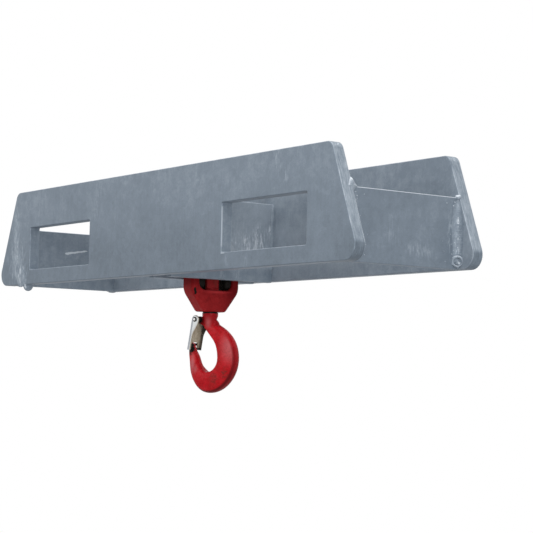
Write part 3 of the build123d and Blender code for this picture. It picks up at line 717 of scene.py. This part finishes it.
def zinc(name, lightness=0.0, runs=(), marks=(), lines=(), long_plate=False, sky=0.0, specks=0.03, foot=0.0):
    """Zinc whose tone is the weighted sum of its textures, plus painted sky light times upward look, plus
    runs times blotches, less the foot's painted shade; marks then lift it to the tone of thick zinc, lines to
    a painted highlight."""
    finish = Finish(name, Metallic=0.20, Specular_IOR_Level=0.3)
    mottle = finish.noise(MOTTLE[1], detail=4, rough=0.62)
    streaks = finish.noise(STREAKS[1], detail=2, stretch=(1, 1, 9))
    flowers = finish.cells(FLOWERS[1])
    grain = finish.noise(GRAIN[1], detail=2, rough=0.7)
    clouds = finish.noise(CLOUDS[1], detail=4, rough=0.6)
    tone = clouds * CLOUDS[0] + mottle * MOTTLE[0] + streaks * STREAKS[0]
    tone = tone + flowers * FLOWERS[0] + finish.cells(FLECKS[1]) * FLECKS[0] + grain * GRAIN[0]
    tone = tone + finish.noise(SPECK_SIZE, detail=1).step(0.66, 0.76) * specks
    tone = tone + (0.5 - WEIGHTS / 2 + lightness)
    if long_plate:
        tone = tone + long_plate_shade(finish, mottle)
    if sky:
        tone = tone + finish.facing(Z_AXIS).step(0.1, 0.6) * sky
    if foot:
        tone = tone - finish.along(Z_AXIS).step(-60, -78) * foot
    if runs:
        blotches = finish.noise(BLOTCH_SIZE, detail=4, rough=0.65, stretch=(1, 1, 5)).step(0.44, 0.64)
        tone = tone + reduce(Wire.__add__, finish.patches(runs)) * blotches * RUN_TONE
    for middle, half in marks:
        tone = tone.larger(finish.near(middle, half).step(0.05, 0.5) * MARK_TONE)
    # Lines are painted highlights along edges
    for middle, half in lines:
        tone = tone.larger(finish.near(middle, half, boxy=True).step(0.02, 0.3) * HIGHLIGHT_LINE_TONE)
    finish.feed(Base_Color=tone.ramp(*ZINC_STOPS), Roughness=0.42 + mottle * 0.25,
                bump=grain + flowers * 0.25 + mottle, depth=0.4)
    return finish


# sky is painted sky light on faces that look up
plate_zinc = zinc("galvanised_plate", runs=plate_runs, lines=PLATE_HIGHLIGHT_LINES, long_plate=True, sky=0.12)
left_end_zinc = zinc("galvanised_left_end_plate", lightness=0.04, marks=end_marks, sky=0.55)
right_end_zinc = zinc("galvanised_right_end_plate", lightness=-0.05, runs=end_runs, sky=0.60)
# The hanger plates' extra lightness is painted light for the shade in the pockets, and their foot a painted
# shade
hanger_zinc = zinc("galvanised_hanger_plate", lightness=0.22, runs=hanger_runs, sky=0.10, foot=0.20)
weld_zinc = zinc("galvanised_weld", lightness=0.03, runs=WELD_RUNS, sky=0.35, specks=0.40)
# The hanger welds' extra lightness is painted light that hides the shade in their corners
inner_weld_zinc = zinc("galvanised_inner_weld", lightness=0.10)
run_zinc = zinc("galvanised_run", lightness=0.16, sky=0.30, specks=0.25)
lace_zinc = zinc("galvanised_lace", lightness=0.05, runs=LACE_RUNS, sky=0.30, specks=0.25)

# %% [markdown]
# ## Red enamel
# The forged hook, its bail and its nut are dipped in red enamel over a scaly forging. The coat is uneven and
# dimpled, and handling browns it in blotches. A plain red would look like plastic, so the tone comes from
# patches, dimples and specks, and the same dimples are the relief.

# %% Helper: a coat of enamel
# Near black for grease and for painted shade and shadow, dark brown for grime, and dark red for grime and for
# painted shade
GREASE_AND_SHADE_BLACK, GRIME, GRIME_AND_SHADE_RED = (0.010, 0.008, 0.007), (0.100, 0.030, 0.020), (0.110, 0.002, 0.004)
# Weight and feature size of each texture that makes up the tone
PAINT_PATCHES, DIMPLES, SPECKS = (0.40, 30), (0.32, 6.5), (0.28, 2.2)
GRIME_SIZE = 10


class Enamel(Finish):
    """Red paint: its colour, grime, roughness and relief, before a piece's own wear, painted highlights and
    painted shade.
    """

    def __init__(self, name, stops, grime, gloss):
        super().__init__(name, Specular_IOR_Level=gloss)
        dimples = self.noise(DIMPLES[1], detail=3, rough=0.55)
        specks = self.noise(SPECKS[1], detail=2, rough=0.6)
        patches = self.noise(PAINT_PATCHES[1], detail=4, rough=0.6)
        tone = patches * PAINT_PATCHES[0] + dimples * DIMPLES[0] + specks * SPECKS[0]
        self.red = tone.ramp(*stops)
        self.grime = self.noise(GRIME_SIZE, detail=5, rough=0.68).step(0.52, 0.70) * grime
        self.roughness = 0.28 + specks * 0.16 + self.grime * 0.2
        self.relief = dimples + specks * 0.6

    def paint(self, colour, relief):
        """Feeds the finished colour and relief to the shader."""
        self.feed(Base_Color=colour, Roughness=self.roughness, bump=relief, depth=1.0)


# %% [markdown]
# ## Enamel of the hook
# The hook is handled most, and its coat is scuffed brown on the flank. Painted highlights make it paler on
# the flank, the neck and the left limb, and painted shade makes it dark along the outer rim, in the crease
# beside it, at the top of the neck and on its lower part, and black round the latch's pivot and low in the
# crease. A painted shadow makes it black under the bail, and the tip is black round its lump. The rim could
# be picked out face by face, but on such a round shape it is easier to ask how far the surface looks away
# from the bowl's middle. The other places are soft ellipsoids.

# %% Hook: painted shade of the rim, painted highlights and scuffed places
HOOK_RED = ((0.30, (0.325, 0.004, 0.007)), (0.50, (0.535, 0.008, 0.014)), (0.72, (0.630, 0.030, 0.040)))
# Middle, half sizes and strength of painted highlights and of scuffed places
FLANK_HIGHLIGHT, NECK_HIGHLIGHT = ((44, 4, -178), (24, 18, 36), 0.70), ((5.5, -7, -146), (8, 7, 13), 0.60)
LIMB_HIGHLIGHTS = (((-19.5, -15.5, -203), (6.6, 7.4, 22), 0.82), ((-14, -14.2, -211), (6, 7, 10), 0.50))
SCUFFS = (
    ((18, -4, -223), (13, 9, 12), 1.0), ((35, 2, -217), (12, 8, 12), 1.0), ((28, -2, -202), (11, 7, 16), 0.5),
)
bowl_middle = (0, 0, box["hook"][0][2] + 47 * MM)
bail_foot = bail_bottom / MM
neck_level = bail_foot - 18

hook_enamel = Enamel("red_enamel_hook", HOOK_RED, grime=0.25, gloss=0.09)
from_bowl = hook_enamel.vector("SUBTRACT", hook_enamel.place, bowl_middle)
outwards = hook_enamel.facing(hook_enamel.vector("NORMALIZE", from_bowl, (0, 0, 0)))
height = hook_enamel.along(Z_AXIS)
below_neck = height.step(neck_level, neck_level - 15)
middle_down, lower_part = height.step(-160, -192), height.step(-196, -224)
# Painted shade along the outer rim and the crease beside it, stronger from the middle down
crease = outwards.band(0.66, 0.86, 0.94, 1.0) * below_neck
rim = outwards.step(0.86, 0.97) * below_neck * (0.02 + middle_down * 0.45 + lower_part * 0.25)
rim = rim.larger(crease * (middle_down * 0.65 + lower_part * 0.20))
# Painted highlights on the flank, the neck and the left limb
flank_highlight, neck_highlight = hook_enamel.patches((FLANK_HIGHLIGHT, NECK_HIGHLIGHT))
limb_highlight = reduce(Wire.larger, hook_enamel.patches(LIMB_HIGHLIGHTS))
painted_highlight = (flank_highlight * outwards.step(0.92, 0.70)).larger(limb_highlight).larger(neck_highlight)
scratches = hook_enamel.noise(2.6, detail=5, rough=0.75, stretch=(2, 2, 1)).step(0.40, 0.58)
scuffed = reduce(Wire.larger, hook_enamel.patches(SCUFFS)).step(0.05, 0.85) * scratches * 0.65

# %% Hook: painted shade and shadow in black, the black tip, and the colours in order
# Pink of the painted highlights
HIGHLIGHT_PINK = (0.56, 0.16, 0.17)
ragged = scratches - 0.5
# Painted shade in black round the latch's pivot and low in the crease, a painted shadow on the collar under
# the bail; the tip is black round its lump
pivot_shade = hook_enamel.near(latch_pivot / MM, (13, 13, 12)).step(0.1, 0.55)
tip_grease = hook_enamel.near((-23.2, -14.9, -181.5), (8.5, 8.5, 13))
tip_grease = (tip_grease + ragged * 0.3).step(0.05, 0.50)
collar_shadow = (height + ragged).step(bail_foot - 2.8, bail_foot - 1.8)
crease_shade = crease * lower_part * 0.26
shade_and_tip_black = pivot_shade.larger(collar_shadow).larger(tip_grease).larger(crease_shade)
# Painted shade at the top of the neck, on the rim and on the lower part
neck_shade = height.step(neck_level - 6, neck_level + 4) * (1 - neck_highlight) * 0.45
shade = rim.larger(neck_shade).larger(lower_part * 0.16)
colour = painted_highlight.mix(hook_enamel.red, HIGHLIGHT_PINK)
colour = hook_enamel.grime.larger(scuffed).mix(colour, GRIME)
colour = shade.mix(colour, GRIME_AND_SHADE_RED)
hook_enamel.paint(shade_and_tip_black.mix(colour, GREASE_AND_SHADE_BLACK), hook_enamel.relief)

# %% [markdown]
# ## Enamel of the bail and the nut
# The bail hangs under the carrier: its coat is duller, and its red is darker than the hook's as a painted
# shade. It carries grime, and painted shade darkens it towards the plates above and on the far arm. A painted
# highlight makes a paler lip under the window, painted shade makes the window's walls black, and one arm
# has black nicks, which go into the relief as well. The nut's red is darker still as a painted shade, and
# painted shade makes its flats beside the pads of grease black. The same coat serves both, with their own
# reds.

# %% Bail
# A darker red than the hook's: painted shade under the carrier
BAIL_RED = ((0.30, (0.176, 0.010, 0.011)), (0.50, (0.305, 0.0155, 0.0175)), (0.72, (0.385, 0.027, 0.029)))
LIP_HIGHLIGHT = (0.52, 0.040, 0.045)
bail_front = box["swivel_bail"][1][0] / MM
# Places of the nicks across the bail and in height, their half sizes and how deep they go
NICK_PLACES, NICK_SIZE, NICK_DEPTH = ((-34.8, -102.5), (-33.6, -107), (-34.8, -111.5)), (5, 2.4, 4.6), 1.5

bail_enamel = Enamel("red_enamel_bail", BAIL_RED, grime=0.40, gloss=0.04)
nicks = [bail_enamel.near((bail_front, y, z), NICK_SIZE) for y, z in NICK_PLACES]
nicked = reduce(Wire.__add__, nicks).step(0.15, 0.45)
# Painted shade makes the window walls black; a painted highlight lies on the window's lower lip
window_shade = bail_enamel.near((0, 0, nut_high / MM), (13.5, 34, 30)).step(0.0, 0.25) * 0.9
lip = bail_enamel.near((bail_front, 0, nut_low / MM - 4.2), (9, 30, 3.8))
# Painted shade towards the plates above and on the far arm, together with the grime
under_plates = bail_enamel.along(Z_AXIS).step(-102, -90) * 0.6
far_arm = bail_enamel.along(Y_AXIS).step(0, 34) * 0.8
colour = bail_enamel.grime.larger(under_plates).larger(far_arm).mix(bail_enamel.red, GRIME_AND_SHADE_RED)
colour = lip.mix(colour, LIP_HIGHLIGHT)
bail_enamel.paint(nicked.larger(window_shade).mix(colour, GREASE_AND_SHADE_BLACK), bail_enamel.relief - nicked * NICK_DEPTH)

# %% Nut
# A darker red still: painted shade inside the bail's window
NUT_RED = ((0.30, (0.135, 0.006, 0.007)), (0.50, (0.235, 0.009, 0.011)), (0.72, (0.300, 0.017, 0.019)))
NUT_TURN = np.radians(24)

nut_enamel = Enamel("red_enamel_nut", NUT_RED, grime=0.35, gloss=0.04)
nut_flat = (np.sin(NUT_TURN), np.cos(NUT_TURN), 0)
# Painted shade: black flats beside the pads
shaded_flats = nut_enamel.along(nut_flat).size().step(8.3, 10.0)
colour = nut_enamel.grime.mix(nut_enamel.red, GRIME)
nut_enamel.paint(shaded_flats.mix(colour, GREASE_AND_SHADE_BLACK), nut_enamel.relief)

# %% [markdown]
# ## Bright zinc of the latch
# The pressed latch is electroplated: pale and fairly smooth outside, with a brown film of old grease on its
# inner faces. Painted shade makes the far cheek darkest, also along its fold, black at the lower end beside
# it, and the cheeks' back edges duller. Each face could have its own material, but the film and the shade
# fade from one to the next, so distances in the latch's own directions tell them apart: sideways, from the
# back and up from the pivot.

# %% Latch
# Dullest and brightest plating with the painted shade of the cheeks' back edges, darkest and palest film, and
# the painted shade of the far cheek at its low and high end
PLATING, BACK_EDGE_SHADE = ((0.58, 0.60, 0.60), (0.80, 0.82, 0.81)), (0.37, 0.39, 0.42)
FILM = ((0.280, 0.250, 0.165), (0.520, 0.478, 0.360))
FAR_CHEEK_SHADE = ((0.095, 0.086, 0.070), (0.030, 0.029, 0.025))
CHEEK_INSIDE = 13.7

plated = Finish("bright_zinc_latch", Specular_IOR_Level=0.4)
film = plated.noise(5, detail=5, rough=0.72)
brushed = plated.noise(1.1, detail=3, stretch=(1, 1, 9))
sideways = plated.along(hook_normal)
from_back = plated.along(latch_inward) - float(latch_pivot @ latch_inward) / MM
above_pivot = plated.along(latch_up) - float(latch_pivot @ latch_up) / MM
inside = sideways.size().step(CHEEK_INSIDE + 0.4, CHEEK_INSIDE - 0.4)
# Painted shade on the far cheek, along its fold and at the lower end
far_cheek = sideways.step(1.9 - CHEEK_INSIDE, 1.1 - CHEEK_INSIDE) * inside * 0.95
far_fold = sideways.step(-8, -11) * inside * 0.45
low_end = above_pivot.step(-39, -41) * sideways.step(-4, -8)
clean = from_back.step(-1.4, -2.8).mix(film.mix(*PLATING), BACK_EDGE_SHADE)
brown = film.step(0.30, 0.70).mix(*FILM)
far_cheek_shade = above_pivot.step(-24, -13).mix(*FAR_CHEEK_SHADE)
latch_colour = far_cheek.larger(far_fold).mix(inside.mix(clean, brown), far_cheek_shade)
plated.feed(Base_Color=low_end.mix(latch_colour, GREASE_AND_SHADE_BLACK), Roughness=0.32 + brushed * 0.3,
            Metallic=0.35 - inside * 0.25, bump=brushed, strength=0.3)

# %% [markdown]
# ## Rivet, pin, spring wire and grease
# The rivet's peened head has a painted highlight in the middle and a painted shade round it, so its colour
# changes with the distance from the rivet's axis. The hanger pin with its washer and split pin is plated, the
# spring is dark drawn wire, and the grease is nearly black and dull. At their size, one or two noises are
# enough.

# %% Rivet
# Painted highlight in the middle of the rivet's head, painted shade round it
RIVET_HIGHLIGHT, RIVET_RING_SHADE = ((0.80, 0.80, 0.79), (0.95, 0.95, 0.94)), ((0.030, 0.029, 0.026), (0.075, 0.07, 0.06))

rivet = Finish("peened_rivet", Metallic=0.4)
from_pivot = rivet.vector("SUBTRACT", rivet.place, tuple(latch_pivot))
from_axis = rivet.vector("CROSS_PRODUCT", from_pivot, tuple(hook_normal))
rivet_radius = rivet.vector("LENGTH", from_axis, (0, 0, 0), "Value")
peened = rivet.noise(1.2, detail=3)
rivet_colour = rivet_radius.step(1.3 * MM, 2.0 * MM).mix(peened.mix(*RIVET_HIGHLIGHT), peened.mix(*RIVET_RING_SHADE))
rivet.feed(Base_Color=rivet_colour, Roughness=0.3 + peened * 0.3, bump=peened, strength=0.4)

# %% Pin, spring wire and grease
PIN_STEEL = ((0.270, 0.315, 0.365), (0.420, 0.475, 0.530))
DRAWN_STEEL = ((0.05, 0.048, 0.045), (0.16, 0.155, 0.145))
OLD_GREASE = ((0.004, 0.0035, 0.003), (0.014, 0.011, 0.009))

pin = Finish("plated_pin", Metallic=0.15, Specular_IOR_Level=0.3)
turned = pin.noise(2, detail=3, stretch=(0.3, 1, 1))
pin.feed(Base_Color=pin.noise(10, detail=4).mix(*PIN_STEEL), Roughness=0.38 + turned * 0.2,
         bump=turned, strength=0.3)

wire_steel = Finish("drawn_spring_wire", Metallic=0.85)
drawn = wire_steel.noise(1.5, detail=3)
wire_steel.feed(Base_Color=drawn.mix(*DRAWN_STEEL), Roughness=0.3 + drawn * 0.25)

old_grease = Finish("old_grease", Specular_IOR_Level=0.08)
lumps = old_grease.noise(2, detail=3)
old_grease.feed(Base_Color=lumps.mix(*OLD_GREASE), Roughness=0.4 + lumps * 0.3,
                bump=lumps, depth=0.4, strength=0.6)

# %% [markdown]
# ## A finish for every piece
# The record names a material slot for each node, and most pieces take the finish of their slot. A few
# that share a slot have their own coat, such as the bail with its painted shade or the cross plates. They
# could be set one by one, but two tables show at a glance what differs from the rule.

# %% Hand out the finishes
FINISH_OF_SLOT = {
    "galvanised_steel": plate_zinc, "weld_metal": weld_zinc, "pin_steel": pin, "red_paint": nut_enamel,
    "bright_zinc": plated, "spring_steel": wire_steel,
}
FINISH_OF_PIECE = {
    "hook": hook_enamel, "swivel_bail": bail_enamel, "nut_lock_pin": nut_enamel, "latch_rivet": rivet,
    "swivel_grease": old_grease, "nut_grease": old_grease, "tip_grease": old_grease,
    "zinc_runs": lace_zinc, "weld_ends": run_zinc,
    "left_end_plate": left_end_zinc, "right_end_plate": right_end_zinc,
}
for hand in ("left", "right"):
    FINISH_OF_PIECE[f"{hand}_hanger_plate"] = hanger_zinc
    FINISH_OF_PIECE[f"{hand}_hanger_weld_beads"] = inner_weld_zinc
slot_of_node = {part["node"]: part["material_slot"] for part in frame["record"]["subparts"]}
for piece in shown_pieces():
    slot = slot_of_node.get(piece.name) or piece.get("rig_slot")
    finish = FINISH_OF_PIECE.get(piece.name, FINISH_OF_SLOT[slot])
    piece.data.materials.clear()
    piece.data.materials.append(finish.material)
    print(piece.name, "wears", finish.material.name)

# %% [markdown]
# ## Light, floor and background
# The photograph is a cut-out on white, taken under an open sky: soft light from above and in front, and
# no hard shadow. A white world that only the camera and reflections see gives the background, a dimmer one
# lights the object, and three large lamps shape it. The floor lies well below, because the object hangs; it
# is pale to the camera and darker as a source of bounced light, as open ground would be.

# %% World and lamps
AMBIENT = 0.46


def seen_directly(wire):
    """1 for camera, glossy and transmission rays, 0 for diffuse light."""
    names = ("Is Camera Ray", "Is Glossy Ray", "Is Transmission Ray")
    first, second, third = (wire.node("ShaderNodeLightPath", output=name) for name in names)
    return first.larger(second).larger(third)


world = bpy.data.worlds.new("soft_white_studio")
bpy.context.scene.world = world
world.use_nodes = True
backdrop = world.node_tree.nodes["Background"]
backdrop.inputs["Color"].default_value = (1, 1, 1, 1)
world_strength = AMBIENT + seen_directly(Wire(world.node_tree)) * (1 - AMBIENT)
world.node_tree.links.new(world_strength.socket, backdrop.inputs["Strength"])


def lamp(name, place, aim, size, power):
    """Square area lamp at place, turned to aim."""
    data = bpy.data.lights.new(name, "AREA")
    data.size = size
    data.energy = power
    light = bpy.data.objects.new(name, data)
    light.location = place
    light.rotation_euler = (Vector(aim) - Vector(place)).to_track_quat("-Z", "Y").to_euler()
    bpy.context.collection.objects.link(light)
    print(name, "watts:", power)


lamp("sky_lamp", place=(0.2, -0.4, 3.4), aim=(0, 0, 0), size=3.6, power=85)
lamp("key_lamp", place=(-0.9, -2.8, 1.0), aim=(-0.1, 0, -0.1), size=1.2, power=19)
lamp("fill_lamp", place=(3.3, -1.3, 0.1), aim=(0, 0, -0.1), size=1.6, power=40)

# %% Floor
FLOOR_LEVEL, FLOOR_RADIUS, FLOOR_HOLE = -0.95, 3.2, 0.001
FLOOR_RINGS, FLOOR_SPOKES = 12, 96
FLOOR_SEEN, FLOOR_BOUNCE = ((0.80, 0.80, 0.80), (0.84, 0.84, 0.84)), (0.55, 0.55, 0.56)

# Disc p(r, a) = (r cos a, r sin a, level)
floor_turn = np.linspace(0, 2 * np.pi, FLOOR_SPOKES, endpoint=False)[None, :]
floor_reach = np.linspace(FLOOR_HOLE, FLOOR_RADIUS, FLOOR_RINGS)[:, None]
floor_points = np.stack([floor_reach * np.cos(floor_turn), floor_reach * np.sin(floor_turn),
                         FLOOR_LEVEL + 0 * floor_reach * floor_turn], axis=-1)
floor_mesh = bpy.data.meshes.new("pale_floor")
floor_faces = grid_faces(FLOOR_RINGS, FLOOR_SPOKES, 0)
floor_mesh.from_pydata(floor_points.reshape(-1, 3).tolist(), [], floor_faces.tolist())
floor = bpy.data.objects.new("pale_floor", floor_mesh)
bpy.context.collection.objects.link(floor)

floor_finish = Finish("pale_floor_finish", Roughness=0.9, Specular_IOR_Level=0.1)
pale = floor_finish.noise(300, detail=3).mix(*FLOOR_SEEN)
floor_finish.feed(Base_Color=seen_directly(floor_finish.wire).mix(FLOOR_BOUNCE, pale))
floor_mesh.materials.append(floor_finish.material)

# %% [markdown]
# ## Camera
# The camera stands low in front of the carrier's right end and looks slightly up at it. Three angles would
# do, but its turn is written as three directions, so that right, up and forward can be read at a glance.

# %% Camera at the photograph's angle
CAMERA_PLACE = (1.965, -1.309, -0.233)
CAMERA_RIGHT = (0.5821, 0.8128, 0.0225)
CAMERA_UP = (0.0440, -0.0590, 0.9973)
CAMERA_FORWARD = (-0.8119, 0.5796, 0.0702)
LENS_MM, SENSOR_MM = 115.5, 36.0

camera_data = bpy.data.cameras.new("photo_camera")
camera_data.sensor_width = SENSOR_MM
camera_data.lens = LENS_MM
camera = bpy.data.objects.new("photo_camera", camera_data)
backward = [-part for part in CAMERA_FORWARD]
turn = Matrix((CAMERA_RIGHT, CAMERA_UP, backward)).transposed().to_4x4()
camera.matrix_world = Matrix.Translation(CAMERA_PLACE) @ turn
bpy.context.collection.objects.link(camera)
bpy.context.scene.camera = camera

bpy.context.scene.view_settings.view_transform = "Standard"
print("camera at", CAMERA_PLACE)
